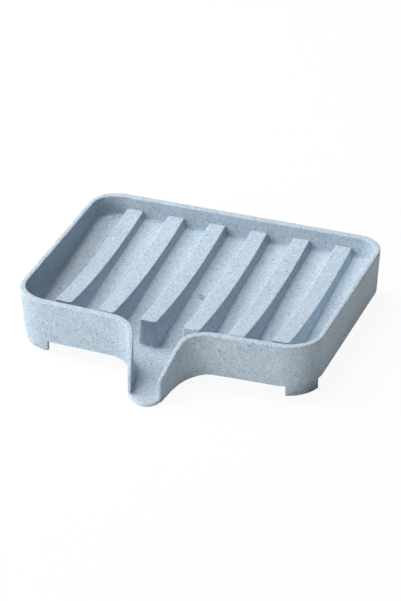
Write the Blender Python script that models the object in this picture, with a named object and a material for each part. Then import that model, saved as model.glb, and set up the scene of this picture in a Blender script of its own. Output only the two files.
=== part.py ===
"""A soap dish with a drain spout, moulded in straw-filled plastic. Metres, +Z up.

The dish stands on z = 0 with its spout toward -Y. The origin is on the resting plane, under
the middle of the box round the dish. The shapes are worked out about the middle of the tray,
and moved back at the end by half of the spout's reach.
"""

from math import atan, cos, exp, hypot, log, pi, sin, sqrt

import bmesh
import bpy

# Overall sizes of the tray
TRAY_LENGTH = 0.135
TRAY_DEPTH = 0.103
OVERALL_HEIGHT = 0.02455
GAP = 0.0003
OVERRUN = 0.004

# The wall round the tray. Its drafts are how far its foot lies inside its rim
WALL_THICKNESS = 0.0022
WALL_LIFT = 0.0049
FRONT_CORNER_RADIUS = 0.016
BACK_CORNER_RADIUS = 0.0128
FRONT_DRAFT = 0.00145
BACK_DRAFT = 0.00145
SIDE_DRAFT = 0.0008
RIM_EDGE = 0.0005
FRONT_BOW_SLOPE = 0.04

# The spout, which sits a little right of the middle
SPOUT_OFFSET = 0.0018
SPOUT_WING = 0.0042
MOUTH_REACH = 0.0209
MOUTH_HALF_WIDTH = 0.0073
CHEEK_THICKNESS = 0.0016
CHEEK_FLARE_SLOPE = 0.345
CHEEK_FILLET_RADIUS = 0.0135
CHEEK_KNEE = 0.0056
CHEEK_KNEE_SOFTNESS = 0.0012
CHEEK_FALL_SLOPE = 0.93
HEEL_START = 0.0025
HEEL_FALL_SLOPE = 0.13
HEEL_KINK = 0.0115
LIP_REACH = 0.0054
LIP_THICKNESS = 0.0015
LIP_LIFT = 0.0003
LIP_ROUNDNESS_SHARE = 0.95
LIP_LEAN = 0.0009
# The chute's sides start this share of the way from the spout's wings to its fillets
CHUTE_SIDE_SHARE = 0.25

# The floor, which falls forward and toward the spout
FLOOR_LOW = 0.0045
FLOOR_THICKNESS = 0.0016
FLOOR_FALL_SLOPE = 0.111
FLOOR_CROSS_SLOPE = 0.035

# The soap ribs, which sit a trace left of the middle. Their front ends follow the wall's bow
RIB_COUNT = 6
RIB_TOP_WIDTH = 0.0076
RIB_OFFSET = 0.0003
RIB_DRAFT = 0.0007
RIB_SIDE_ROOM = 0.01875
RIB_FRONT_ROOM = 0.0151
RIB_LOW_HEIGHT = 0.0155
RIB_DISH_RADIUS = 0.300
RIB_SAG = 0.0012
RIB_EDGE = 0.0005

# The feet, the front ones a trace right of the middle. Their shares are of the turn round a
# corner, or of the run along the back
FOOT_THICKNESS = 0.0020
FOOT_INSET = 0.0007
FRONT_FOOT_OFFSET = 0.0004
FOOT_TURN_LEFT_SHARES = (0.03, 0.85)
FOOT_TURN_RIGHT_SHARES = (0.17, 0.85)
BACK_FOOT_SHARES = (0.60, 0.96)

# How finely curves are drawn
CORNER_STEPS = 8
FILLET_STEPS = 8
CHEEK_STEPS = 6
LIP_STEPS = 14
RIB_STEPS = 12

# What follows from the sizes
HALF_LENGTH = TRAY_LENGTH / 2
HALF_DEPTH = TRAY_DEPTH / 2
MOUTH_Y = -HALF_DEPTH - MOUTH_REACH
TIP_Y = MOUTH_Y - LIP_REACH
RIB_FRONT_Y = -HALF_DEPTH + RIB_FRONT_ROOM
TRAY_SHIFT = (MOUTH_REACH + LIP_REACH) / 2
BOW_ANGLE = atan(FRONT_BOW_SLOPE)
CHEEK_ANGLE = atan(CHEEK_FLARE_SLOPE)
RIGHT_ANGLE = pi / 2


def move(point, direction, distance):
    return (point[0] + direction[0] * distance, point[1] + direction[1] * distance)


def along(start, end, share):
    return (start[0] + (end[0] - start[0]) * share, start[1] + (end[1] - start[1]) * share)


def outside_corner(point_a, normal_a, point_b, normal_b, distance):
    """The point that lies the given distance outside both of two lines in the plan."""
    reach_a = point_a[0] * normal_a[0] + point_a[1] * normal_a[1] + distance
    reach_b = point_b[0] * normal_b[0] + point_b[1] * normal_b[1] + distance
    turn = normal_a[0] * normal_b[1] - normal_a[1] * normal_b[0]
    x = (reach_a * normal_b[1] - reach_b * normal_a[1]) / turn
    y = (reach_b * normal_a[0] - reach_a * normal_b[0]) / turn
    return (x, y)


def arc(centre, radius, start, end, steps):
    """Points round a corner, from one direction of its radius to the other."""
    angles = [start + (end - start) * step / steps for step in range(steps + 1)]
    return [move(centre, (cos(angle), sin(angle)), radius) for angle in angles]


def half_plan(side, drop, inset):
    """The wall's outline in the plan, from the middle of the back round to the spout's mouth.

    side is 1 for the right half and -1 for the left. drop is the share of the wall's height
    below the rim, which sets the draft, and inset is how far inside that outline this one
    lies. It returns the stretch round the tray and the stretch of the spout's cheek.
    """
    back = HALF_DEPTH - BACK_DRAFT * drop
    front = -HALF_DEPTH + FRONT_DRAFT * drop
    wide = HALF_LENGTH - SIDE_DRAFT * drop
    spout_x = side * SPOUT_OFFSET
    back_centre = (wide - BACK_CORNER_RADIUS, back - BACK_CORNER_RADIUS)
    front_centre = (wide - FRONT_CORNER_RADIUS, front + FRONT_CORNER_RADIUS)
    bow_normal = (sin(BOW_ANGLE), -cos(BOW_ANGLE))
    cheek_normal = (cos(CHEEK_ANGLE), -sin(CHEEK_ANGLE))
    bow_start = move(front_centre, bow_normal, FRONT_CORNER_RADIUS - inset)
    mouth = (spout_x + MOUTH_HALF_WIDTH - inset / cos(CHEEK_ANGLE), MOUTH_Y)
    radius = CHEEK_FILLET_RADIUS + inset
    fillet_centre = outside_corner(bow_start, bow_normal, mouth, cheek_normal, radius)
    fillet_start = move(fillet_centre, bow_normal, -radius)
    cheek_start = move(fillet_centre, cheek_normal, -radius)
    wing = move(fillet_start, (cos(BOW_ANGLE), sin(BOW_ANGLE)), SPOUT_WING)

    tray = [(0.0, back - inset)]
    tray += arc(back_centre, BACK_CORNER_RADIUS - inset, RIGHT_ANGLE, 0.0, CORNER_STEPS)
    tray += arc(
        front_centre, FRONT_CORNER_RADIUS - inset, 0.0, BOW_ANGLE - RIGHT_ANGLE, CORNER_STEPS
    )
    tray += [wing]
    cheek = [wing]
    cheek += arc(
        fillet_centre, -radius, BOW_ANGLE - RIGHT_ANGLE, -CHEEK_ANGLE, FILLET_STEPS
    )
    cheek += [
        along(cheek_start, mouth, step / CHEEK_STEPS) for step in range(1, CHEEK_STEPS + 1)
    ]
    return [(side * x, y) for x, y in tray], [(side * x, y) for x, y in cheek]


def tray_plan(drop, inset):
    """The outline of the wall round the tray, from the spout's left wing to its right one."""
    left = half_plan(-1, drop, inset)[0]
    right = half_plan(1, drop, inset)[0]
    return left[:0:-1] + right


def drop_at(height):
    """The share of the wall's height that a height lies below the rim."""
    return (OVERALL_HEIGHT - height) / (OVERALL_HEIGHT - WALL_LIFT)


def rim_height(y):
    """The height of the rim: level round the tray, then falling along the spout's cheeks."""
    past_knee = (-HALF_DEPTH - CHEEK_KNEE - y) / CHEEK_KNEE_SOFTNESS
    soft = max(past_knee, 0.0) + log(1 + exp(-abs(past_knee)))
    return OVERALL_HEIGHT - CHEEK_FALL_SLOPE * CHEEK_KNEE_SOFTNESS * soft


def heel_height(y):
    """The height of the wall's lower edge: level, then falling to the lip under the spout."""
    start_y = -HALF_DEPTH - HEEL_START
    kink_y = -HALF_DEPTH - HEEL_KINK
    kink_height = WALL_LIFT - HEEL_FALL_SLOPE * (HEEL_KINK - HEEL_START)
    if y >= start_y:
        return WALL_LIFT
    if y >= kink_y:
        return WALL_LIFT - HEEL_FALL_SLOPE * (start_y - y)
    return kink_height + (LIP_LIFT - kink_height) * (kink_y - y) / (kink_y - MOUTH_Y)


def floor_height(x, y):
    """The height of the floor's upper face: level in the front trough, rising to the back."""
    rise = FLOOR_FALL_SLOPE * max(0.0, y - RIB_FRONT_Y)
    return FLOOR_LOW + rise + FLOOR_CROSS_SLOPE * abs(x - SPOUT_OFFSET)


def material(name, colour, roughness):
    made = bpy.data.materials.new(name)
    made.use_nodes = True
    shader = made.node_tree.nodes["Principled BSDF"]
    shader.inputs["Base Color"].default_value = (*colour, 1.0)
    shader.inputs["Roughness"].default_value = roughness
    shader.inputs["Metallic"].default_value = 0.0
    return made


def add_object(name, mesh, finish):
    """Puts a mesh into the scene under its name, moved from tray coordinates to the dish's."""
    for polygon in mesh.polygons:
        polygon.use_smooth = True
    mesh.set_sharp_from_angle(angle=pi / 6)
    mesh.materials.append(finish)
    made = bpy.data.objects.new(name, mesh)
    made.location = (0.0, TRAY_SHIFT, 0.0)
    bpy.context.scene.collection.objects.link(made)
    return made


def finished(name, work):
    """The mesh of a closed shape, in flat triangles that all face out."""
    bmesh.ops.triangulate(work, faces=work.faces)
    bmesh.ops.recalc_face_normals(work, faces=work.faces)
    mesh = bpy.data.meshes.new(name)
    work.to_mesh(mesh)
    work.free()
    return mesh


def skin(name, sections):
    """A closed mesh through sections that have the same number of points, its ends capped."""
    work = bmesh.new()
    rings = [[work.verts.new(point) for point in section] for section in sections]
    for ring, following in zip(rings, rings[1:]):
        for index, corner in enumerate(ring):
            after = (index + 1) % len(ring)
            work.faces.new((corner, ring[after], following[after], following[index]))
    work.faces.new(rings[0])
    work.faces.new(rings[-1])
    return finished(name, work)


def slab(name, columns, rows, top, bottom):
    """A closed sheet over a grid of x and y places, between two height functions."""
    work = bmesh.new()
    faces = [
        [[work.verts.new((x, y, height(x, y))) for x in columns] for y in rows]
        for height in (top, bottom)
    ]
    for layer in faces:
        for row, following in zip(layer, layer[1:]):
            for index in range(len(row) - 1):
                corners = (row[index], row[index + 1], following[index + 1], following[index])
                work.faces.new(corners)
    upper, lower = faces
    edges = [
        (upper[0], lower[0]),
        (upper[-1], lower[-1]),
        ([row[0] for row in upper], [row[0] for row in lower]),
        ([row[-1] for row in upper], [row[-1] for row in lower]),
    ]
    for high, low in edges:
        for index in range(len(high) - 1):
            work.faces.new((high[index], high[index + 1], low[index + 1], low[index]))
    return finished(name, work)


def prism(name, plan, bottom, top):
    """An outline in the plan, extruded between two heights."""
    return skin(name, [[(x, y, bottom) for x, y in plan], [(x, y, top) for x, y in plan]])


def helper(made):
    """A shape that only cuts or joins: it isn't part of the dish."""
    made.hide_render = True
    made.display_type = "WIRE"
    return made


def boolean(target, other, operation):
    modifier = target.modifiers.new(operation.title(), "BOOLEAN")
    modifier.operation = operation
    modifier.solver = "EXACT"
    modifier.object = helper(other)


def wall_sections(plan, thickness):
    """The wall's cross-sections along a plan: its outer face, rounded rim and inner face.

    plan(drop, inset) gives the places, the same number of them for each line of the profile.
    """
    profile = [
        (1.0, 0.0, 0.0),
        (0.0, 0.0, RIM_EDGE),
        (0.0, RIM_EDGE, 0.0),
        (0.0, thickness - RIM_EDGE, 0.0),
        (0.0, thickness, RIM_EDGE),
        (1.0, thickness, 0.0),
    ]
    columns = []
    for drop, inset, below in profile:
        base = plan(drop, inset)
        height = heel_height if drop else rim_height
        columns.append([(x, y, height(y) - below) for x, y in base])
    return [list(section) for section in zip(*columns)]


def rim_wall(finish):
    """The wall round the tray, open where the spout leaves it."""
    mesh = skin("rim_wall", wall_sections(tray_plan, WALL_THICKNESS))
    return add_object("rim_wall", mesh, finish)


def tray_floor(finish):
    """The floor inside the wall: a sloping sheet, cut to the wall's inner outline."""
    sections = []
    for height in (-OVERRUN, OVERALL_HEIGHT):
        plan = tray_plan(drop_at(height), WALL_THICKNESS + GAP)
        sections.append([(x, y, height) for x, y in plan])
    reach_x = HALF_LENGTH + OVERRUN
    reach_y = HALF_DEPTH + OVERRUN
    mesh = slab(
        "tray_floor",
        (-reach_x, SPOUT_OFFSET, reach_x),
        (-reach_y, RIB_FRONT_Y, reach_y),
        floor_height,
        lambda x, y: floor_height(x, y) - FLOOR_THICKNESS,
    )
    made = add_object("tray_floor", mesh, finish)
    cutter = skin("floor_outline", sections)
    boolean(made, add_object("floor_outline", cutter, finish), "INTERSECT")
    return made


def lip_plan():
    """The lip's outline in the plan: a nose as wide as the mouth, which leans a little right."""
    power = 2 / (1 + LIP_ROUNDNESS_SHARE)
    points = []
    for step in range(LIP_STEPS + 1):
        angle = pi * step / LIP_STEPS
        x = -cos(angle)
        wide = abs(x) ** power * (1 if x > 0 else -1)
        long = sin(angle) ** power if 0 < step < LIP_STEPS else 0.0
        x = SPOUT_OFFSET + MOUTH_HALF_WIDTH * wide + LIP_LEAN * long
        points.append((x, MOUTH_Y - LIP_REACH * long))
    return points


def chute_height(x, y):
    """The height of the chute's upper face, from the tray's floor down to the lip."""
    start_y = half_plan(1, 1.0, WALL_THICKNESS)[0][-1][1]
    share = (start_y - y) / (start_y - TIP_Y)
    start = floor_height(x, start_y)
    return start + (LIP_LIFT + LIP_THICKNESS - start) * share


def chute_bottom(x, y):
    """The height of the chute's lower face."""
    start_y = half_plan(1, 1.0, WALL_THICKNESS)[0][-1][1]
    share = (start_y - y) / (start_y - TIP_Y)
    thickness = FLOOR_THICKNESS + (LIP_THICKNESS - FLOOR_THICKNESS) * share
    return chute_height(x, y) - thickness


def cheek_plan(side, drop, inset):
    """One side of the spout, from its wing to its mouth, with the wall's end drawn back."""
    points = half_plan(side, drop, inset)[1]
    run = hypot(points[1][0] - points[0][0], points[1][1] - points[0][1])
    points[0] = along(points[0], points[1], GAP / run)
    return points


def cheek_inset(side, drop, inset):
    """A cheek's outline, where the wall thins from the tray's thickness to the cheek's."""
    thick = cheek_plan(side, drop, inset)
    thin = cheek_plan(side, drop, inset * CHEEK_THICKNESS / WALL_THICKNESS)
    last = min(FILLET_STEPS + 1, len(thick) - 1)
    return [
        along(wide, slim, min(1.0, index / last))
        for index, (wide, slim) in enumerate(zip(thick, thin))
    ]


def spout(finish):
    """The spout: two cheeks that curve out of the front wall, the chute and the lip."""
    middle = WALL_THICKNESS / 2
    left = cheek_inset(-1, 1.0, middle)
    right = cheek_inset(1, 1.0, middle)
    left[0] = along(left[0], left[1], CHUTE_SIDE_SHARE)
    right[0] = along(right[0], right[1], CHUTE_SIDE_SHARE)
    inner_left = cheek_plan(-1, 1.0, WALL_THICKNESS)[0]
    inner_right = cheek_plan(1, 1.0, WALL_THICKNESS)[0]
    start_y = max(inner_left[1], inner_right[1])
    plan = [(left[0][0], start_y)] + left[:-1] + lip_plan() + right[-2::-1]
    plan += [(right[0][0], start_y)]
    reach = max(-left[0][0], right[0][0]) + OVERRUN
    columns = (-reach, SPOUT_OFFSET, reach)
    rows = (TIP_Y - OVERRUN, start_y + OVERRUN)
    mesh = slab("spout", columns, rows, chute_height, chute_bottom)
    made = add_object("spout", mesh, finish)
    cutter = prism("chute_outline", plan, -OVERRUN, OVERALL_HEIGHT + OVERRUN)
    boolean(made, add_object("chute_outline", cutter, finish), "INTERSECT")
    for name, side in (("left_cheek", -1), ("right_cheek", 1)):
        sections = wall_sections(
            lambda drop, inset, side=side: cheek_inset(side, drop, inset), WALL_THICKNESS
        )
        cheek = add_object(name, skin(name, sections), finish)
        boolean(made, cheek, "UNION")
    return made


def rib_top(y, sag):
    """The height of a rib's dished top: an arc, lowest at the middle of the tray.

    sag is how far the rib lies below the outer ones at its front end. It fades to the back.
    """
    forward = (HALF_DEPTH - y) / (HALF_DEPTH - RIB_FRONT_Y)
    return RIB_LOW_HEIGHT + RIB_DISH_RADIUS - sqrt(RIB_DISH_RADIUS**2 - y**2) - sag * forward


def rib(number, finish):
    """One soap rib, from the back wall to the front trough, its sides drafted."""
    reach = HALF_LENGTH - RIB_SIDE_ROOM
    place = -reach + 2 * reach * (number - 1) / (RIB_COUNT - 1)
    centre = place - RIB_OFFSET
    front_y = RIB_FRONT_Y - FRONT_BOW_SLOPE * (reach - abs(place))
    sag = RIB_SAG * (1 - (place / reach) ** 2)
    drop = drop_at(floor_height(0.0, HALF_DEPTH))
    back_y = half_plan(1, drop, WALL_THICKNESS + GAP)[0][0][1]
    top_half = RIB_TOP_WIDTH / 2
    base_half = top_half + RIB_DRAFT
    sections = []
    for step in range(RIB_STEPS + 1):
        y = front_y + (back_y - front_y) * step / RIB_STEPS
        low = [floor_height(centre + side * base_half, y) + GAP for side in (-1, 1)]
        high = rib_top(y, sag)
        sections.append(
            [
                (centre - base_half, y, low[0]),
                (centre - top_half, y, high - RIB_EDGE),
                (centre - top_half + RIB_EDGE, y, high),
                (centre + top_half - RIB_EDGE, y, high),
                (centre + top_half, y, high - RIB_EDGE),
                (centre + base_half, y, low[1]),
            ]
        )
    name = f"rib_{number}"
    return add_object(name, skin(name, sections), finish)


def foot_sections(outer, inner):
    """A foot's cross-sections, between its outer and its inner outline."""
    top = WALL_LIFT - GAP
    return [
        [(*outside, 0.0), (*outside, top), (*inside, top), (*inside, 0.0)]
        for outside, inside in zip(outer, inner)
    ]


def front_foot(name, side, shares, finish):
    """A curved foot under a front corner, just inside the wall's lower edge."""
    wide = HALF_LENGTH - SIDE_DRAFT
    front = -HALF_DEPTH + FRONT_DRAFT
    centre_x = side * (wide - FRONT_CORNER_RADIUS) + FRONT_FOOT_OFFSET
    centre = (centre_x, front + FRONT_CORNER_RADIUS)
    radius = FRONT_CORNER_RADIUS - FOOT_INSET
    begin = -RIGHT_ANGLE + side * RIGHT_ANGLE * shares[0]
    end = -RIGHT_ANGLE + side * RIGHT_ANGLE * shares[1]
    outer = arc(centre, radius, begin, end, CORNER_STEPS)
    inner = arc(centre, radius - FOOT_THICKNESS, begin, end, CORNER_STEPS)
    return add_object(name, skin(name, foot_sections(outer, inner)), finish)


def back_foot(name, side, finish):
    """A straight foot under the back wall."""
    straight = HALF_LENGTH - SIDE_DRAFT - BACK_CORNER_RADIUS
    back = HALF_DEPTH - BACK_DRAFT - FOOT_INSET
    places = [side * straight * share for share in BACK_FOOT_SHARES]
    outer = [(x, back) for x in places]
    inner = [(x, back - FOOT_THICKNESS) for x in places]
    return add_object(name, skin(name, foot_sections(outer, inner)), finish)


def main():
    for old in list(bpy.data.objects):
        bpy.data.objects.remove(old)
    wall_finish = material("straw_plastic_wall", (0.40, 0.52, 0.63), 0.5)
    floor_finish = material("straw_plastic_floor", (0.42, 0.54, 0.65), 0.5)
    rib_finish = material("straw_plastic_rib", (0.48, 0.60, 0.70), 0.55)
    foot_finish = material("straw_plastic_foot", (0.38, 0.50, 0.61), 0.5)
    rim_wall(wall_finish)
    tray_floor(floor_finish)
    spout(wall_finish)
    for number in range(1, RIB_COUNT + 1):
        rib(number, rib_finish)
    front_foot("foot_front_left", -1, FOOT_TURN_LEFT_SHARES, foot_finish)
    front_foot("foot_front_right", 1, FOOT_TURN_RIGHT_SHARES, foot_finish)
    back_foot("foot_back_left", -1, foot_finish)
    back_foot("foot_back_right", 1, foot_finish)


main()
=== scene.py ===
"""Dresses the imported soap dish: one moulding in pale blue plastic that is filled with straw.

The file is laid out as an add-on. The moulding is worked out in tray coordinates, about the
middle of the tray, and set into the dish's own frame as its meshes are made.
"""

import math

import bmesh
import bpy
import numpy as np
from bpy.props import FloatProperty, FloatVectorProperty, IntProperty, PointerProperty
from mathutils import Matrix, Vector


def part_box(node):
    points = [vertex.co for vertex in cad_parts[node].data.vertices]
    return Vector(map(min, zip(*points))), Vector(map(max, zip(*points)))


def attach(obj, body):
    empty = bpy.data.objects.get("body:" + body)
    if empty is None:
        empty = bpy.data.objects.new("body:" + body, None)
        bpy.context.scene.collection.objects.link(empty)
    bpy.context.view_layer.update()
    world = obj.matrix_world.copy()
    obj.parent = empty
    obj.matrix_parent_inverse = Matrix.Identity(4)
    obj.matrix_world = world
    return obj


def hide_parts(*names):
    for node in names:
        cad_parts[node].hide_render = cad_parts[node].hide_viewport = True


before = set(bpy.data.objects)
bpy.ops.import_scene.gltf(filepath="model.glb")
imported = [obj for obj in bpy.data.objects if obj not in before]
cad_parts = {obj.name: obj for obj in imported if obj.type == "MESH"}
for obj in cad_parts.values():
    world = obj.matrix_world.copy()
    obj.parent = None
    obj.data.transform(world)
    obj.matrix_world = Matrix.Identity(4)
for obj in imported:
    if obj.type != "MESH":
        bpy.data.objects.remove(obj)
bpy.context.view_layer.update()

bl_info = {
    "name": "Straw Plastic Soap Dish",
    "version": (1, 0, 0),
    "blender": (4, 5, 0),
    "location": "View3D > Sidebar > Soap Dish",
    "description": "Builds a draining soap dish as one moulding, with its finish and a studio",
    "category": "Object",
}

WALL_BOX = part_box("rim_wall")
SPOUT_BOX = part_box("spout")
MM = 0.001
QUARTER = math.pi / 2
BACK_STEPS = 40
CORNER_STEPS = 30
SIDE_STEPS = 44
BOW_STEPS = 20
FILLET_STEPS = 40
CHEEK_STEPS = 46
END_STEPS = 6
NOSE_STEPS = 12
PAN_COLUMNS = 64
ROUND_STEPS = 6
LEFT_FOOT_SHARES = (0.03, 0.85)
RIGHT_FOOT_SHARES = (0.17, 0.85)


def linear(hex_colour):
    """An sRGB hex colour as linear red, green and blue."""
    values = [int(hex_colour[i : i + 2], 16) / 255 for i in (1, 3, 5)]
    return tuple(v / 12.92 if v <= 0.04045 else ((v + 0.055) / 1.055) ** 2.4 for v in values)


def length(name, description, default):
    return FloatProperty(
        name=name, description=description, default=default, unit="LENGTH", precision=5
    )


def ratio(name, description, default):
    return FloatProperty(name=name, description=description, default=default, precision=4)


def colour(name, description, hex_colour):
    return FloatVectorProperty(
        name=name, description=description, default=linear(hex_colour), subtype="COLOR"
    )


class TraySizes(bpy.types.PropertyGroup):
    """The tray, its wall and its floor."""

    half_length: length("Half length", "Half of the tray's length", WALL_BOX[1].x)
    half_depth: length("Half depth", "Half of the tray's depth, without the bow", 51.5 * MM)
    rim_height: length("Rim height", "The rim's height over the table", WALL_BOX[1].z)
    wall_lift: length("Wall lift", "The wall's lower edge over the table", 4.9 * MM)
    wall: length("Wall", "The wall's thickness", 2.2 * MM)
    front_radius: length("Front radius", "The front corners' radius", 16.0 * MM)
    back_radius: length("Back radius", "The back corners' radius", 12.8 * MM)
    end_draft: length("End draft", "How far the front and back walls lean in", 1.45 * MM)
    side_draft: length("Side draft", "How far the side walls lean in", 0.8 * MM)
    end_wall: length("End wall", "How much thicker the front and back walls are", 1.1 * MM)
    rim_round: length("Rim rounding", "The radius of the rim's edges", 0.5 * MM)
    heel_round: length("Heel rounding", "The radius of the lower edges", 0.3 * MM)
    bow_slope: ratio("Bow", "How steeply the front bows out toward the spout", 0.04)
    floor_low: length("Floor low", "The floor's height in the front trough", 4.5 * MM)
    floor: length("Floor", "The floor's thickness", 1.6 * MM)
    floor_fall: ratio("Floor fall", "The floor's slope to the front", 0.111)
    floor_cross: ratio("Floor cross fall", "The floor's slope toward the spout", 0.035)
    floor_soft: length("Floor softness", "How softly the floor's slopes meet", 1.2 * MM)
    floor_fillet: length("Floor fillet", "The radius between floor and wall", 1.1 * MM)
    front_room: length("Front room", "From the tray's front to the ribs", 15.1 * MM)


class SpoutSizes(bpy.types.PropertyGroup):
    """The drain spout: its cheeks, chute and lip."""

    offset: length("Offset", "How far right of the middle it sits", 1.8 * MM)
    reach: length("Reach", "From the tray's front to the mouth", 20.9 * MM)
    half_width: length("Half width", "Half of the mouth's width", 7.3 * MM)
    cheek: length("Cheek", "The cheeks' thickness", 1.4 * MM)
    flare: ratio("Flare", "How the cheeks spread toward the tray", 0.345)
    fillet: length("Fillet", "The radius from the front wall to a cheek", 13.5 * MM)
    knee: length("Knee", "Where the rim starts to fall", 5.6 * MM)
    knee_soft: length("Knee softness", "How gently the rim starts to fall", 1.2 * MM)
    fall: ratio("Rim fall", "The slope of the falling rim", 0.93)
    heel_start: length("Heel start", "Where the lower edge starts to fall", 2.5 * MM)
    heel_fall: ratio("Heel fall", "The slope of the lower edge before its kink", 0.13)
    heel_kink: length("Heel kink", "Where the lower edge turns down", 11.5 * MM)
    end_round: length("End rounding", "The radius of the cheeks' ends", 0.5 * MM)
    chute_start: length("Chute start", "Where the chute leaves the floor", 48.7 * MM)
    lip_reach: length("Lip reach", "How far the lip stands out of the mouth", 5.4 * MM)
    lip_lean: length("Lip lean", "How far right of the mouth's middle the lip's tip is", 1.8 * MM)
    lip: length("Lip", "The lip's thickness", 1.5 * MM)
    lip_lift: length("Lip lift", "The lip's underside over the table", SPOUT_BOX[0].z)
    lip_round: length("Lip rounding", "The radius of the lip's edges", 0.6 * MM)
    lip_blend: length("Lip blend", "Where the floor's fillets run out at the mouth", 3.0 * MM)


class RibSizes(bpy.types.PropertyGroup):
    """The soap ribs and the mark of the gate."""

    count: IntProperty(name="Count", description="How many ribs there are", default=6)
    top_width: length("Top width", "A rib's width at its top", 7.6 * MM)
    offset: length("Offset", "How far left of the middle they sit", 0.3 * MM)
    draft: length("Draft", "How far each side spreads at its foot", 0.7 * MM)
    side_room: length("Side room", "From the tray's side to the outer rib's middle", 18.75 * MM)
    low_height: length("Low height", "The lowest place of the ribs' dished tops", 15.5 * MM)
    dish_radius: length("Dish radius", "The radius of the dished tops", 300 * MM)
    sag: length("Sag", "How far the middle ribs lie below the outer ones in front", 1.2 * MM)
    edge: length("Edge", "The radius of the upper edges", 0.38 * MM)
    corner: length("Corner", "The radius of the upright edges in front", 1.2 * MM)
    fillet: length("Fillet", "The radius where a rib meets the floor", 0.45 * MM)
    sink: length("Sink", "How far a rib runs into the floor and the back wall", 0.9 * MM)
    gate_radius: length("Gate radius", "The radius of the ring that the gate left", 1.15 * MM)
    gate_wire: length("Gate wire", "Half of the thickness of that ring", 0.4 * MM)
    gate_height: length("Gate height", "How far that ring stands up", 0.8 * MM)
    gate_left: length("Gate left", "How far left of the tray's middle that ring is", 0.7 * MM)
    gate_place: length("Gate place", "How far behind the tray's middle that ring is", 1.5 * MM)


class FootSizes(bpy.types.PropertyGroup):
    """The feet."""

    thickness: length("Thickness", "How thick a foot is", 2.0 * MM)
    inset: length("Inset", "How far a foot lies inside the wall's lower edge", 0.7 * MM)
    offset: length("Offset", "How far right of the middle the front feet sit", 0.4 * MM)
    edge: length("Edge", "The radius of a foot's edges", 0.3 * MM)
    corner: length("Corner", "The radius of a foot's upright edges", 0.5 * MM)
    top: length("Top", "The feet's height, with what is sunk in the wall", 5.4 * MM)


class DishColours(bpy.types.PropertyGroup):
    """The colours of the straw-filled plastic and of the studio."""

    plastic: colour("Plastic", "The blue of the plastic", "#BCCBD7")
    pale: colour("Pale cloud", "Where the plastic is a little paler", "#C6D4DE")
    deep: colour("Deep cloud", "Where the plastic is a little deeper", "#B3C4D2")
    husk: colour("Husk", "The grey flecks of straw", "#899095")
    bran: colour("Bran", "The dark flecks of straw", "#6F7C88")
    chaff: colour("Chaff", "The pale flecks of straw", "#E2ECF4")
    floor: colour("Studio floor", "The floor under the dish", "#F8F9F9")


class SoapDish(bpy.types.PropertyGroup):
    """All the settings of the dish."""

    tray: PointerProperty(type=TraySizes)
    spout: PointerProperty(type=SpoutSizes)
    ribs: PointerProperty(type=RibSizes)
    feet: PointerProperty(type=FootSizes)
    colours: PointerProperty(type=DishColours)


def settings():
    return bpy.context.scene.soap_dish


# Shapes in the plan


def unit(angle):
    """Unit vectors at angles: (cos a, sin a)."""
    return np.stack([np.cos(angle), np.sin(angle)], -1)


def arc(centre, radius, start, end, steps):
    """Points c + r·(cos a, sin a) over an even sweep of a."""
    return np.asarray(centre) + radius * unit(np.linspace(start, end, steps + 1))


def between(start, end, share):
    """Points (1 - s)·a + s·b, one for each share s."""
    share = np.asarray(share)[:, None]
    return np.asarray(start) * (1 - share) + np.asarray(end) * share


def steps_to(start, end, steps):
    """Evenly spaced points from a to b, without a itself."""
    return between(start, end, np.linspace(0, 1, steps + 1)[1:])


def ramp(value, soft):
    """A ramp that starts gently: s·ln(1 + e^(v / s))."""
    return soft * np.logaddexp(0, value / soft)


def smooth(value):
    """0 below 0, 1 above 1, and 3v² - 2v³ between."""
    value = np.clip(value, 0, 1)
    return value * value * (3 - 2 * value)


def outside_corner(point_a, normal_a, point_b, normal_b, distance):
    """The point p with p·n = a·n + d for both of two lines."""
    reach = [np.dot(point_a, normal_a) + distance, np.dot(point_b, normal_b) + distance]
    return np.linalg.solve(np.array([normal_a, normal_b]), np.array(reach))


def half_outline(side, drop):
    """Half of the dish's outline, from the middle of the back to the spout's mouth.

    A rounded rectangle whose front bows out, then a concave fillet and a straight cheek that
    closes in on the spout. drop is 0 for the outline of the rim and 1 for that of the wall's
    lower edge, which the drafts draw in.
    """
    tray, spout = settings().tray, settings().spout
    bow, flare = math.atan(tray.bow_slope), math.atan(spout.flare)
    bow_normal, cheek_normal = unit(bow - QUARTER), unit(-flare)
    back = tray.half_depth - tray.end_draft * drop
    wide = tray.half_length - tray.side_draft * drop
    back_centre = (wide - tray.back_radius, back - tray.back_radius)
    front_centre = (wide - tray.front_radius, tray.front_radius - back)
    back_turn = arc(back_centre, tray.back_radius, QUARTER, 0, CORNER_STEPS)
    front_turn = arc(front_centre, tray.front_radius, 0, bow - QUARTER, CORNER_STEPS)
    mouth = np.array([side * spout.offset + spout.half_width, -tray.half_depth - spout.reach])
    centre = outside_corner(front_turn[-1], bow_normal, mouth, cheek_normal, spout.fillet)
    turn = arc(centre, -spout.fillet, bow - QUARTER, -flare, FILLET_STEPS)
    rounding = spout.end_round * (1 - np.sin(np.linspace(0, QUARTER, END_STEPS + 1)))
    left = rounding / (turn[-1][1] - mouth[1])
    share = np.concatenate([np.linspace(0, 1 - left[0], CHEEK_STEPS + 1)[1:], 1 - left[1:]])
    parts = [
        [[0.0, back]],
        steps_to((0.0, back), back_turn[0], BACK_STEPS),
        back_turn[1:],
        steps_to(back_turn[-1], front_turn[0], SIDE_STEPS),
        front_turn[1:],
        steps_to(front_turn[-1], turn[0], BOW_STEPS),
        turn[1:],
        between(turn[-1], mouth, share),
    ]
    return np.concatenate(parts) * (side, 1)


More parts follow.
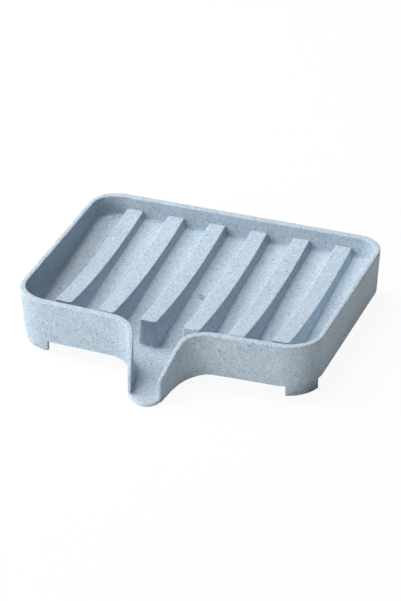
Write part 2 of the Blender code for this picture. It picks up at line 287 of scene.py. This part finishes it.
def half_inward(side):
    """The way in from each place of half_outline: -(cos h, sin h), with h the wall's heading.

    Along a cheek it turns to the plain left or right, so that a wall's end stays square.
    """
    tray, spout = settings().tray, settings().spout
    bow, flare = math.atan(tray.bow_slope), math.atan(spout.flare)
    heading = np.concatenate(
        [
            np.full(BACK_STEPS + 1, QUARTER),
            np.linspace(QUARTER, 0, CORNER_STEPS + 1)[1:],
            np.zeros(SIDE_STEPS),
            np.linspace(0, bow - QUARTER, CORNER_STEPS + 1)[1:],
            np.full(BOW_STEPS, bow - QUARTER),
            np.linspace(bow - QUARTER, -flare, FILLET_STEPS + 1)[1:],
        ]
    )
    square = np.linspace(0, 1, CHEEK_STEPS + 1)[1:]
    cheek = between(-unit(-flare), (-1 / math.cos(flare), 0), square)
    end = np.repeat(cheek[-1:], END_STEPS, axis=0)
    return np.concatenate([-unit(heading), cheek, end]) * (side, 1)


def half_wall():
    """(thickness, shrink) of the wall at each place of half_outline.

    In front and behind it is thicker by e·iy², with iy the way in along y. It thins to a
    cheek's thickness round the fillet and along the cheek, and its section shrinks by
    r·(1 - cos a) where it rounds off at the mouth.
    """
    tray, spout = settings().tray, settings().spout
    before = 1 + BACK_STEPS + 2 * CORNER_STEPS + SIDE_STEPS + BOW_STEPS
    after = CHEEK_STEPS + END_STEPS
    fillet_share = 0.35
    turning = fillet_share * np.linspace(0, 1, FILLET_STEPS + 1)[1:]
    falling = fillet_share + (1 - fillet_share) * np.linspace(0, 1, after + 1)[1:]
    thinned = np.concatenate([np.zeros(before), turning, falling])
    shrink = np.zeros(before + FILLET_STEPS + after)
    shrink[-END_STEPS:] = spout.end_round * (
        1 - np.cos(np.linspace(0, QUARTER, END_STEPS + 1)[1:])
    )
    thick = tray.wall + tray.end_wall * half_inward(1)[:, 1] ** 2
    return thick + (spout.cheek - thick) * thinned, shrink


# Heights over the plan


def rim_height(y):
    """Level round the tray, then falling along the cheeks: H - k·ramp(knee - y)."""
    tray, spout = settings().tray, settings().spout
    return tray.rim_height - spout.fall * ramp(
        -tray.half_depth - spout.knee - y, spout.knee_soft
    )


def heel_height(y):
    """The wall's lower edge: level, falling a little to a kink, then straight to the lip."""
    tray, spout = settings().tray, settings().spout
    kink = tray.wall_lift - spout.heel_fall * (spout.heel_kink - spout.heel_start)
    places = -tray.half_depth - np.array([spout.reach, spout.heel_kink, spout.heel_start])
    return np.interp(y, places, [spout.lip_lift, kink, tray.wall_lift])


def chute_share(y):
    """How far down the chute a place is: 0 on the tray's floor and 1 at the lip's tip."""
    tray, spout = settings().tray, settings().spout
    run = tray.half_depth + spout.reach + spout.lip_reach - spout.chute_start
    return ramp(-spout.chute_start - y, tray.floor_soft) / run


def floor_height(x, y):
    """The floor and the chute as one surface.

    The floor is low + fall·ramp(y - rib front) + cross·|x - offset|, and the chute leads from
    it down to the lip: h + (lip - h)·share.
    """
    tray, spout = settings().tray, settings().spout
    rib_front = -tray.half_depth + tray.front_room
    across = np.hypot(x - spout.offset, tray.floor_soft) - tray.floor_soft
    rise = tray.floor_fall * ramp(y - rib_front, tray.floor_soft)
    floor = tray.floor_low + rise + tray.floor_cross * across
    return floor + (spout.lip_lift + spout.lip - floor) * chute_share(y)


def floor_bottom(x, y):
    """The underside: the upper surface less a thickness that falls to the lip's."""
    tray, spout = settings().tray, settings().spout
    return floor_height(x, y) - tray.floor - (spout.lip - tray.floor) * chute_share(y)


def rib_height(y, sag):
    """A rib's dished top: low + R - sqrt(R² - y²) - sag·(back - y) / (back - front)."""
    tray, ribs = settings().tray, settings().ribs
    forward = (tray.half_depth - y) / (2 * tray.half_depth - tray.front_room)
    arc_height = ribs.dish_radius - np.sqrt(ribs.dish_radius**2 - y**2)
    return ribs.low_height + arc_height - sag * forward


# Meshes


def grid_quads(index):
    """The quads of a grid of vertex numbers."""
    return np.stack([index[:-1, :-1], index[:-1, 1:], index[1:, 1:], index[1:, :-1]], -1).reshape(
        -1, 4
    )


def band_quads(first, second):
    """The quads between two closed loops of vertex numbers."""
    return np.stack([first, np.roll(first, -1), np.roll(second, -1), second], -1)


def edge_of(grid):
    """The outer points of a grid, once round."""
    return np.concatenate([grid[0], grid[1:, -1], grid[-1, -2::-1], grid[-2:0:-1, 0]])


def add_piece(name, points, faces, nodes):
    """A smooth closed mesh in the dish's frame, riding on the moulding's one body."""
    shift = WALL_BOX[1].y - settings().tray.half_depth
    mesh = bpy.data.meshes.new(name)
    mesh.from_pydata(points + (0, shift, 0), [], faces)
    work = bmesh.new()
    work.from_mesh(mesh)
    bmesh.ops.recalc_face_normals(work, faces=work.faces)
    work.to_mesh(mesh)
    work.free()
    mesh.polygons.foreach_set("use_smooth", np.ones(len(mesh.polygons), bool))
    mesh.set_sharp_from_angle(angle=math.radians(40))
    mesh.materials.append(straw_plastic())
    piece = bpy.data.objects.new(name, mesh)
    bpy.context.scene.collection.objects.link(piece)
    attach(piece, "root")
    if nodes:
        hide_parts(*nodes)
    return piece


def cushion(name, top, rings, bottom, nodes):
    """A closed piece from two grids of points and the loops that lead from one to the other."""
    loops = [len(ring) for ring in rings]
    points = np.concatenate([top.reshape(-1, 3), *rings, bottom.reshape(-1, 3)])
    top_index = np.arange(top[..., 0].size).reshape(top.shape[:2])
    start = top_index.size
    indices = [edge_of(top_index)]
    for count in loops:
        indices.append(np.arange(start, start + count))
        start += count
    bottom_index = start + np.arange(bottom[..., 0].size).reshape(bottom.shape[:2])
    indices.append(edge_of(bottom_index))
    faces = [grid_quads(top_index), grid_quads(bottom_index)]
    faces += [band_quads(first, second) for first, second in zip(indices, indices[1:])]
    return add_piece(name, points, np.concatenate(faces).tolist(), nodes)


# The pieces of the dish


def wall_profile():
    """The wall's section, once round, as rows of (across, up, cos a, sin a, shift).

    across and up say which of the four corners a point belongs to, a is its place on the rounding,
    and shift moves a point along the wall's face, so that the roundings stay crisp in the shading.
    """
    turns = np.linspace(0, QUARTER, ROUND_STEPS + 1)
    hold = 0.5 * MM
    rows = []
    for across, up, start in ((0, 1, 2), (1, 1, 1), (1, 0, 0), (0, 0, -1)):
        angles = start * QUARTER - turns
        held = [(across, up, *point, 0.0) for point in unit(angles)]
        if (across, up) in ((0, 1), (1, 0)):
            rows.append((*held[0][:4], hold * (1 - 2 * up)))
            rows += held
        else:
            rows += held
            rows.append((*held[-1][:4], hold * (1 - 2 * up)))
    return np.array(rows).T


def make_wall():
    """The wall: one rounded section along the whole outline, from mouth to mouth.

    A point of the section lies at outline·(1 - d) + lower outline·d + inward·i, where d is how
    far it is below the rim, and i how far it is inside the outer face.
    """
    tray = settings().tray
    across, up, cosine, sine, shift = wall_profile()
    least_radius = 0.05 * MM
    halves = []
    for side in (-1, 1):
        rim, heel, inward = half_outline(side, 0), half_outline(side, 1), half_inward(side)
        thick, shrink = (values[:, None] for values in half_wall())
        radius = np.where(up > 0, tray.rim_round, tray.heel_round)
        radius = np.maximum(radius - shrink, least_radius)
        inset = across * thick + (1 - 2 * across) * shrink + radius * (1 - 2 * across + cosine)
        top = rim_height(rim[:, 1:] + inward[:, 1:] * inset)
        bottom = heel_height(heel[:, 1:] + inward[:, 1:] * inset)
        level = shrink * (1 - 2 * up) + radius * (1 - 2 * up + sine) + shift
        height = top * up + bottom * (1 - up) + level
        drop = ((top - height) / (top - bottom))[..., None]
        plan = rim[:, None] * (1 - drop) + heel[:, None] * drop + inward[:, None] * inset[..., None]
        halves.append(np.concatenate([plan, height[..., None]], -1))
    rows = np.concatenate([halves[0][::-1], halves[1][1:]])
    index = np.arange(rows[..., 0].size).reshape(rows.shape[:2])
    looped = np.concatenate([index, index[:, :1]], 1)
    faces = grid_quads(looped).tolist() + [index[0].tolist(), index[-1].tolist()]
    return add_piece(
        "wall_shell", rows.reshape(-1, 3), faces, ["rim_wall", "spout"]
    )


def pan_sides():
    """The pan's outline as four sides of a rectangle, as loops of places.

    Returns (outline at the rim, at the lower edge, way in, wall's thickness, nose share). The
    top side runs along the back, the left and right sides follow the wall to the mouth and on
    round the lip, and the bottom side is the lip's tip. lip_places gives the lip's outline.
    """
    tray, spout = settings().tray, settings().spout
    mouth = -tray.half_depth - spout.reach
    tip_start = math.radians(60)
    thick = half_wall()[0][BACK_STEPS:]
    sides = []
    for side in (-1, 1):
        rim = half_outline(side, 0)[BACK_STEPS:]
        heel = half_outline(side, 1)[BACK_STEPS:]
        inward = half_inward(side)[BACK_STEPS:]
        lip = lip_places(np.linspace(0, tip_start, NOSE_STEPS + 1)[1:], side)
        nose = smooth((mouth + spout.lip_blend - rim[:, 1]) / spout.lip_blend)
        sides.append(
            (
                np.concatenate([rim, lip[0]]),
                np.concatenate([heel, lip[0]]),
                np.concatenate([inward, lip[1]]),
                np.concatenate([thick, np.full(NOSE_STEPS, spout.cheek)])[:, None],
                np.concatenate([nose, np.ones(NOSE_STEPS)])[:, None],
            )
        )
    left, right = sides
    share = np.linspace(0, 1, PAN_COLUMNS + 1)
    tip = lip_places(np.linspace(math.pi - tip_start, tip_start, PAN_COLUMNS + 1), 1)
    ends = (tip[0], tip[0], tip[1], np.full((len(share), 1), spout.cheek), np.ones((len(share), 1)))
    loops = []
    for first, second, end in zip(left, right, ends):
        back = between(first[0], second[0], share)
        loops.append(np.concatenate([back, second[1:], end[-2::-1], first[-2:0:-1]]))
    return loops, len(left[0])


def lip_places(angle, side):
    """The lip's outline, and the way in from it.

    It is (off + a·cos t + l·sin t·(1 - cos t), mouth - b·sin t), fuller on its right. The way
    in turns gently from the cheek's to the lip's.
    """
    tray, spout = settings().tray, settings().spout
    centre = np.array([side * spout.offset, -tray.half_depth - spout.reach])
    reach = np.array([spout.half_width, -spout.lip_reach])
    lean, cosine, sine = side * spout.lip_lean, side * np.cos(angle), np.sin(angle)
    plan = centre + reach * unit(angle)
    plan[:, 0] += lean * sine * (1 - cosine)
    bend = lean * (np.cos(angle) - side * np.cos(2 * angle))
    run = np.stack([bend - reach[0] * sine, reach[1] * np.cos(angle)], -1)
    inward = run @ np.array([[0, -1], [1, 0]]) / np.linalg.norm(run, axis=1)[:, None]
    turn_end = math.radians(50)
    inward += (1 - smooth(angle / turn_end))[:, None] * (np.array([-1.0, 0.0]) - inward)
    inward /= np.linalg.norm(inward, axis=1)[:, None]
    return plan * (side, 1), inward * (side, 1)


def pan_profile():
    """The pan's edge as rows of (by the wall: in, up; on the lip: in, up; underside or not).

    By the wall it is a fillet, f·(1 - sin a) in and f·(1 - cos a) up, and then an edge that is
    sunk in the wall. On the lip it is a half round, r·(1 - sin a) in and r·(1 - cos a) down.
    """
    tray, spout = settings().tray, settings().spout
    fillet, nose, sunk = tray.floor_fillet, spout.lip_round, 0.8 * MM
    turn = np.linspace(0, QUARTER, 9)
    round_off = np.linspace(0, QUARTER, 6)
    rows = np.zeros((14, 5))
    rows[:9, 0] = fillet * (1 - np.sin(turn))
    rows[:9, 1] = fillet * (1 - np.cos(turn))
    rows[:4, 2] = np.linspace(5 * nose, nose, 4)
    rows[3:9, 2] = nose * (1 - np.sin(round_off))
    rows[3:9, 3] = -nose * (1 - np.cos(round_off))
    rows[9] = (-sunk, fillet - nose / 4, 0, -nose - nose / 4, 0)
    rows[10] = (-sunk, nose, 0, nose, 1)
    rows[11] = (-sunk * 0.7, nose * 0.3, nose * 0.3, nose * 0.3, 1)
    rows[12] = (-sunk * 0.2, 0, nose, 0, 1)
    rows[13] = (fillet, 0, 5 * nose, 0, 1)
    return rows


def pan_ring(sides, row):
    """One loop of the pan: outline·(1 - d) + lower outline·d + inward·i, at its own height."""
    rim, heel, inward, thick, nose = sides
    wall_in, wall_up, lip_in, lip_up, low = row
    inset = (thick + wall_in) * (1 - nose) + lip_in * nose
    rise = (wall_up * (1 - nose) + lip_up * nose)[:, 0]
    surface = floor_bottom if low else floor_height
    plan = heel + inward * inset
    for _ in range(2):
        height = surface(plan[:, 0], plan[:, 1]) + rise
        top, bottom = rim_height(plan[:, 1]), heel_height(plan[:, 1])
        drop = np.clip((top - height) / (top - bottom), 0, 1)[:, None]
        plan = rim * (1 - drop) + heel * drop + inward * inset
    return np.concatenate([plan, (surface(plan[:, 0], plan[:, 1]) + rise)[:, None]], -1)


def fill(loop, rows, surface):
    """A grid inside a loop of four sides: straight between the left and the right side.

    Near the top and bottom sides it is drawn to them, (1 - s)·left + s·right + w·(side - chord).
    """
    columns = PAN_COLUMNS
    right = loop[columns : columns + rows, :2]
    left = np.concatenate([loop[:1, :2], loop[2 * columns + rows - 1 :, :2][::-1]])
    back = loop[: columns + 1, :2]
    tip = loop[columns + rows - 1 : 2 * columns + rows, :2][::-1]
    share = np.linspace(0, 1, columns + 1)[None, :, None]
    grid = left[:, None] * (1 - share) + right[:, None] * share
    number = np.arange(rows)
    near_back = np.clip(1 - number / CORNER_STEPS, 0, 1) ** 2
    near_tip = np.clip(1 - (rows - 1 - number) / NOSE_STEPS, 0, 1) ** 2
    grid = (
        grid
        + near_back[:, None, None] * (back - grid[0])
        + near_tip[:, None, None] * (tip - grid[-1])
    )
    return np.concatenate([grid, surface(grid[..., 0], grid[..., 1])[..., None]], -1)


def make_pan():
    """The pan: the tray's floor, the chute and the lip as one sheet with filleted sides."""
    sides, rows = pan_sides()
    rings = [pan_ring(sides, row) for row in pan_profile()]
    top = fill(rings[0], rows, floor_height)
    bottom = fill(rings[-1], rows, floor_bottom)
    return cushion(
        "floor_pan", top, rings[1:-1], bottom, ["tray_floor", "spout"]
    )


def rounded_grid(half_x, half_y, radius, columns, rows):
    """A grid over a rounded rectangle: in a corner's square, d becomes d·max(|dx|, |dy|)/|d|."""

    def places(half, steps):
        corner = radius * np.linspace(0, 1, ROUND_STEPS)
        inner = np.linspace(radius - half, half - radius, steps + 1)[1:-1]
        return np.concatenate([-half + corner, inner, half - corner[::-1]])

    x, y = np.meshgrid(places(half_x, columns), places(half_y, rows))
    core_x = np.clip(x, radius - half_x, half_x - radius)
    core_y = np.clip(y, radius - half_y, half_y - radius)
    away = np.stack([x - core_x, y - core_y], -1)
    reach = np.abs(away).max(-1)
    scale = np.where(reach > 0, reach / np.maximum(np.hypot(away[..., 0], away[..., 1]), 1e-9), 1)
    return np.stack([core_x, core_y], -1) + away * scale[..., None]


def make_rib(number):
    """A rib: rounded rectangles from its dished top down its drafted sides to the floor.

    A loop lies at share·top + (1 - share)·floor + rise, and the loops spread by the draft and
    by the fillet at the foot. y + bow·|x| sets the front ends along the front wall's bow.
    """
    tray, ribs = settings().tray, settings().ribs
    reach = tray.half_length - ribs.side_room
    centre = -reach + 2 * reach * (number - 1) / (ribs.count - 1)
    sag = ribs.sag * (1 - (centre / reach) ** 2)
    front = -tray.half_depth + tray.front_room - tray.bow_slope * reach + ribs.draft / 2
    back = tray.half_depth - tray.wall + ribs.sink / 2 - tray.bow_slope * abs(centre)
    half_x, half_y, middle = ribs.top_width / 2, (back - front) / 2, (back + front) / 2
    turn = np.linspace(0, QUARTER, ROUND_STEPS + 1)
    hold = 0.4 * MM
    profile = [(-ribs.edge * (1 - math.sin(a)), 1, -ribs.edge * (1 - math.cos(a))) for a in turn]
    profile.append((ribs.draft * 0.04, 1, -ribs.edge - hold))
    profile.append((ribs.draft * 0.96, 0, ribs.fillet + hold))
    profile += [
        (ribs.draft + ribs.fillet * (1 - math.cos(a)), 0, ribs.fillet * (1 - math.sin(a)))
        for a in turn
    ]
    profile.append((ribs.draft + ribs.fillet, 0, -ribs.sink / 3))
    profile.append((ribs.draft + ribs.fillet, 0, -ribs.sink))
    grids = []
    for outset, share, rise in profile:
        plan = rounded_grid(half_x + outset, half_y + outset, ribs.corner + outset, 4, 60)
        x = plan[..., 0] + centre - ribs.offset
        y = plan[..., 1] + middle + tray.bow_slope * np.abs(plan[..., 0] + centre)
        height = floor_height(x, y) * (1 - share) + rib_height(y, sag) * share + rise
        grids.append(np.stack([x, y, height], -1))
    rings = [edge_of(grid) for grid in grids[1:-1]]
    return cushion(f"soap_rib_{number}", grids[0], rings, grids[-1], [f"rib_{number}"])


def foot_grids(half_run, place):
    """Grids from a foot's face on the table up to its top; place maps run and depth to the plan."""
    feet = settings().feet
    turn = np.linspace(0, QUARTER, ROUND_STEPS)
    profile = [(-feet.edge * (1 - math.sin(a)), feet.edge * (1 - math.cos(a))) for a in turn]
    profile += [
        (-feet.edge * (1 - math.cos(a)), feet.top - feet.edge * (1 - math.sin(a))) for a in turn
    ]
    grids = []
    for outset, height in profile:
        half = feet.thickness / 2 + outset
        plan = rounded_grid(half_run + outset, half, feet.corner + outset, 30, 3)
        placed = place(plan[..., 0], plan[..., 1])
        grids.append(np.concatenate([placed, np.full((*placed.shape[:2], 1), height)], -1))
    return grids


def make_front_foot(name, side, shares):
    """A foot bent round a front corner: c + (r + v)·(cos a, sin a), with a = middle + u / r."""
    tray, feet = settings().tray, settings().feet
    wide = tray.half_length - tray.side_draft - tray.front_radius
    front = -tray.half_depth + tray.end_draft + tray.front_radius
    radius = tray.front_radius - feet.inset - feet.thickness / 2
    middle = -QUARTER + side * QUARTER * sum(shares) / 2
    half_run = radius * QUARTER * (shares[1] - shares[0]) / 2

    def place(run, depth):
        angle = middle + run / radius
        centre = np.array([side * wide + feet.offset, front])
        return centre + (radius + depth)[..., None] * unit(angle)

    grids = foot_grids(half_run, place)
    rings = [edge_of(grid) for grid in grids[1:-1]]
    return cushion(name + "_skirt", grids[0], rings, grids[-1], [name])


def make_back_foot(name):
    """A straight foot under the back wall, where its CAD solid is."""
    shift = WALL_BOX[1].y - settings().tray.half_depth
    low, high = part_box(name)
    middle = np.array([(low.x + high.x) / 2, (low.y + high.y) / 2 - shift])
    grids = foot_grids(
        (high.x - low.x) / 2, lambda run, depth: middle + np.stack([run, depth], -1)
    )
    rings = [edge_of(grid) for grid in grids[1:-1]]
    return cushion(name + "_skirt", grids[0], rings, grids[-1], [name])


def make_gate():
    """The gate's mark: a ring (R + r·cos v)·(cos u, sin u), h·sin v up, half in the floor."""
    ribs = settings().ribs
    around, across = np.meshgrid(
        np.linspace(0, 4 * QUARTER, 49)[:-1], np.linspace(0, 4 * QUARTER, 13)[:-1], indexing="ij"
    )
    plan = (ribs.gate_radius + ribs.gate_wire * np.cos(across))[..., None] * unit(around)
    plan = plan + (-ribs.gate_left, ribs.gate_place)
    height = floor_height(plan[..., 0], plan[..., 1]) + ribs.gate_height * np.sin(across)
    index = np.arange(height.size).reshape(height.shape)
    index = np.pad(index, ((0, 1), (0, 1)), mode="wrap")
    points = np.concatenate([plan, height[..., None]], -1).reshape(-1, 3)
    return add_piece("gate_mark", points, grid_quads(index).tolist(), [])


# Finish


def add(tree, kind, values=(), links=(), **attributes):
    """Adds a shader node with its settings, its inputs' values and its links."""
    node = tree.nodes.new(kind)
    for key, value in attributes.items():
        setattr(node, key, value)
    for socket, value in dict(values).items():
        node.inputs[socket].default_value = value
    for socket, source in dict(links).items():
        tree.links.new(source, node.inputs[socket])
    return node


def mix(tree, share, first, second):
    """A colour between two, each of them a socket or a plain colour."""
    node = add(tree, "ShaderNodeMix", data_type="RGBA")
    for socket, value in ((0, share), (6, first), (7, second)):
        if isinstance(value, bpy.types.NodeSocket):
            tree.links.new(value, node.inputs[socket])
        elif socket:
            node.inputs[socket].default_value = (*value, 1.0)
        else:
            node.inputs[socket].default_value = value
    return node.outputs[2]


def fade(tree, source, low, high, start=0.0, end=1.0):
    """A value carried from one range to another, and held at its ends."""
    values = {1: low, 2: high, 3: start, 4: end}
    node = add(tree, "ShaderNodeMapRange", values, {0: source})
    return node.outputs[0]


def times(tree, first, second):
    return add(tree, "ShaderNodeMath", (), {0: first, 1: second}, operation="MULTIPLY").outputs[0]


def flecks(tree, place, cell, size, chance):
    """Flecks of straw in cells of a size in metres: (mask, a random number for each fleck)."""
    cells = add(
        tree, "ShaderNodeTexVoronoi", {"Scale": 1 / cell, "Randomness": 1.0}, {"Vector": place}
    )
    parted = add(tree, "ShaderNodeSeparateColor", (), {0: cells.outputs["Color"]})
    inside = fade(tree, cells.outputs["Distance"], size * 0.75, size * 1.15, 1.0, 0.0)
    there = fade(tree, parted.outputs[0], 1 - chance, 1 - chance + 0.02)
    return times(tree, inside, there), parted.outputs[1]


def straw_plastic():
    """The dish's plastic, made once.

    Soft clouds about 2 cm wide and a fine mottling vary the blue, as in plastic that is mixed
    with ground straw. Three sizes of flecks, grey, dark and pale, stand in it, and a fine grain
    in the bump gives the dull, slightly broken shine of a moulded part. Each pattern has its
    width in millimetres.
    """
    name = "Straw plastic"
    if name in bpy.data.materials:
        return bpy.data.materials[name]
    colours = settings().colours
    made = bpy.data.materials.new(name)
    made.use_nodes = True
    tree = made.node_tree
    shader = tree.nodes["Principled BSDF"]
    cloud_width, mottle_width, bend_width, grain_width = 18.2 * MM, 1.43 * MM, 0.714 * MM, 0.385 * MM
    bend_reach, grain_depth = 0.6 * MM, 0.03 * MM
    place = add(tree, "ShaderNodeTexCoord").outputs["Object"]
    cloud = add(
        tree, "ShaderNodeTexNoise", {"Scale": 1 / cloud_width, "Detail": 3.0}, {"Vector": place}
    )
    mottle = add(
        tree, "ShaderNodeTexNoise", {"Scale": 1 / mottle_width, "Detail": 4.0}, {"Vector": place}
    )
    blue = mix(
        tree, fade(tree, cloud.outputs[0], 0.35, 0.65), tuple(colours.deep), tuple(colours.plastic)
    )
    blue = mix(tree, fade(tree, mottle.outputs[0], 0.42, 0.72), blue, tuple(colours.pale))
    bend = add(
        tree, "ShaderNodeTexNoise", {"Scale": 1 / bend_width, "Detail": 2.0}, {"Vector": place}
    ).outputs["Color"]
    bent = add(
        tree,
        "ShaderNodeVectorMath",
        {1: (bend_reach, bend_reach, bend_reach)},
        {0: bend, 2: place},
        operation="MULTIPLY_ADD",
    ).outputs[0]
    for cell, size, chance, strength in (
        (2.6 * MM, 0.17, 0.55, 0.75),
        (1.2 * MM, 0.28, 0.60, 0.65),
        (0.7 * MM, 0.34, 0.60, 0.60),
    ):
        mask, tone = flecks(tree, bent, cell, size, chance)
        dark = mix(tree, fade(tree, tone, 0.3, 0.35), tuple(colours.bran), tuple(colours.husk))
        straw = mix(tree, fade(tree, tone, 0.62, 0.66), dark, tuple(colours.chaff))
        covered = add(
            tree, "ShaderNodeMath", {1: strength}, {0: mask}, operation="MULTIPLY"
        ).outputs[0]
        blue = mix(tree, covered, blue, straw)
    tree.links.new(blue, shader.inputs["Base Color"])
    grain = add(
        tree, "ShaderNodeTexNoise", {"Scale": 1 / grain_width, "Detail": 3.0}, {"Vector": place}
    )
    bump = add(
        tree,
        "ShaderNodeBump",
        {"Strength": 0.35, "Distance": grain_depth},
        {"Height": grain.outputs[0]},
    )
    tree.links.new(bump.outputs[0], shader.inputs["Normal"])
    tree.links.new(
        fade(tree, mottle.outputs[0], 0.3, 0.7, 0.42, 0.56), shader.inputs["Roughness"]
    )
    shader.inputs["IOR"].default_value = 1.46
    shader.inputs["Specular IOR Level"].default_value = 0.1
    return made


def seen(tree):
    """1 for the rays that show a thing, straight or mirrored or through glass, and 0 for light."""
    rays = add(tree, "ShaderNodeLightPath")
    total = rays.outputs["Is Camera Ray"]
    for kind in ("Is Glossy Ray", "Is Transmission Ray"):
        total = add(
            tree, "ShaderNodeMath", (), {0: total, 1: rays.outputs[kind]}, operation="MAXIMUM"
        ).outputs[0]
    return total


def studio_white():
    """The floor's matt white. The camera sees it nearly plain, and still with the dish's shadow."""
    made = bpy.data.materials.new("Studio white")
    made.use_nodes = True
    tree = made.node_tree
    colours = settings().colours
    shader = tree.nodes["Principled BSDF"]
    shader.inputs["Base Color"].default_value = (*colours.floor, 1.0)
    shader.inputs["Roughness"].default_value = 0.9
    shader.inputs["Specular IOR Level"].default_value = 0.0
    glow = add(tree, "ShaderNodeEmission", {"Color": (1, 1, 1, 1), "Strength": 1.0})
    share = fade(tree, seen(tree), 0.0, 1.0, 0.0, 0.93)
    blend = add(
        tree, "ShaderNodeMixShader", (), {0: share, 1: shader.outputs[0], 2: glow.outputs[0]}
    )
    tree.links.new(blend.outputs[0], tree.nodes["Material Output"].inputs["Surface"])
    return made


# Stage


def add_light(name, place, size, power, tint):
    """A square area lamp that points at the dish."""
    lamp = bpy.data.lights.new(name, "AREA")
    lamp.size = size
    lamp.energy = power
    lamp.color = tint
    made = bpy.data.objects.new(name, lamp)
    made.location = place
    made.rotation_euler = Vector(place).to_track_quat("Z", "Y").to_euler()
    bpy.context.scene.collection.objects.link(made)
    return made


def make_stage():
    """The floor (r·cos a, r·sin a, 0), the world, the lamps and the camera."""
    scene = bpy.context.scene
    reach, turn = np.meshgrid(
        np.linspace(0, 3, 13)[1:], np.linspace(0, 4 * QUARTER, 49)[:-1], indexing="ij"
    )
    points = np.stack([reach * np.cos(turn), reach * np.sin(turn), reach * 0], -1).reshape(-1, 3)
    index = np.arange(reach.size).reshape(reach.shape)
    faces = grid_quads(np.concatenate([index, index[:, :1]], 1)).tolist() + [index[0].tolist()]
    mesh = bpy.data.meshes.new("studio_floor")
    mesh.from_pydata(points, [], faces)
    mesh.materials.append(studio_white())
    floor = bpy.data.objects.new("studio_floor", mesh)
    scene.collection.objects.link(floor)

    world = bpy.data.worlds.new("Studio")
    world.use_nodes = True
    tree = world.node_tree
    sky = tree.nodes["Background"]
    sky.inputs["Color"].default_value = (1.0, 1.0, 1.0, 1.0)
    tree.links.new(fade(tree, seen(tree), 0.0, 1.0, 0.02, 1.0), sky.inputs["Strength"])
    scene.world = world
    add_light("key", (-0.24, 0.08, 1.0), 0.4, 6.1, (1.0, 1.0, 1.0))
    add_light("side", (-0.92, 0.12, 0.68), 0.9, 11.3, (1.0, 1.0, 1.0))
    add_light("low", (-0.52, -1.03, 0.3), 0.5, 5.9, (1.0, 1.0, 1.0))

    lens = bpy.data.cameras.new("camera")
    lens.lens = 186.8
    lens.sensor_width = 36.0
    lens.clip_start = 0.05
    lens.clip_end = 20.0
    azimuth, elevation = math.radians(20.422), math.radians(29.905)
    back = Vector(
        (
            math.sin(azimuth) * math.cos(elevation),
            -math.cos(azimuth) * math.cos(elevation),
            math.sin(elevation),
        )
    )
    right = Vector((math.cos(azimuth), math.sin(azimuth), 0.0))
    camera = bpy.data.objects.new("camera", lens)
    turned = Matrix((right, back.cross(right), back)).transposed().to_4x4()
    camera.matrix_world = Matrix.Translation((0.4055, -1.07685, 0.6771)) @ turned
    scene.collection.objects.link(camera)
    scene.camera = camera
    scene.view_settings.view_transform = "Standard"


class SOAP_OT_wall(bpy.types.Operator):
    """Makes the wall round the tray and the spout's cheeks"""

    bl_idname = "soap.wall"
    bl_label = "Wall"

    def execute(self, context):
        make_wall()
        return {"FINISHED"}


class SOAP_OT_pan(bpy.types.Operator):
    """Makes the floor, the chute, the lip and the gate's mark"""

    bl_idname = "soap.pan"
    bl_label = "Floor"

    def execute(self, context):
        make_pan()
        make_gate()
        return {"FINISHED"}


class SOAP_OT_ribs(bpy.types.Operator):
    """Makes the ribs that the soap lies on"""

    bl_idname = "soap.ribs"
    bl_label = "Ribs"

    def execute(self, context):
        for number in range(1, settings().ribs.count + 1):
            make_rib(number)
        return {"FINISHED"}


class SOAP_OT_feet(bpy.types.Operator):
    """Makes the two curved feet in front and the two straight ones behind"""

    bl_idname = "soap.feet"
    bl_label = "Feet"

    def execute(self, context):
        make_front_foot("foot_front_left", -1, LEFT_FOOT_SHARES)
        make_front_foot("foot_front_right", 1, RIGHT_FOOT_SHARES)
        make_back_foot("foot_back_left")
        make_back_foot("foot_back_right")
        return {"FINISHED"}


class SOAP_OT_stage(bpy.types.Operator):
    """Makes the floor, the world, the lamps and the camera"""

    bl_idname = "soap.stage"
    bl_label = "Stage"

    def execute(self, context):
        make_stage()
        return {"FINISHED"}


class SOAP_PT_panel(bpy.types.Panel):
    """Lists the pieces in the 3D view's sidebar"""

    bl_idname = "SOAP_PT_panel"
    bl_label = "Soap Dish"
    bl_space_type = "VIEW_3D"
    bl_region_type = "UI"
    bl_category = "Soap Dish"

    def draw(self, context):
        for operator in OPERATORS:
            self.layout.operator(operator.bl_idname)
        for group in ("tray", "spout", "ribs", "feet", "colours"):
            box = self.layout.box()
            values = getattr(context.scene.soap_dish, group)
            for name in values.__annotations__:
                box.prop(values, name)


GROUPS = (TraySizes, SpoutSizes, RibSizes, FootSizes, DishColours, SoapDish)
OPERATORS = (SOAP_OT_wall, SOAP_OT_pan, SOAP_OT_ribs, SOAP_OT_feet, SOAP_OT_stage)


def register():
    for made in (*GROUPS, *OPERATORS, SOAP_PT_panel):
        bpy.utils.register_class(made)
    bpy.types.Scene.soap_dish = PointerProperty(type=SoapDish)


def unregister():
    del bpy.types.Scene.soap_dish
    for made in reversed((*GROUPS, *OPERATORS, SOAP_PT_panel)):
        bpy.utils.unregister_class(made)


def main():
    register()
    bpy.ops.soap.wall()
    bpy.ops.soap.pan()
    bpy.ops.soap.ribs()
    bpy.ops.soap.feet()
    bpy.ops.soap.stage()


if __name__ == "__main__":
    main()
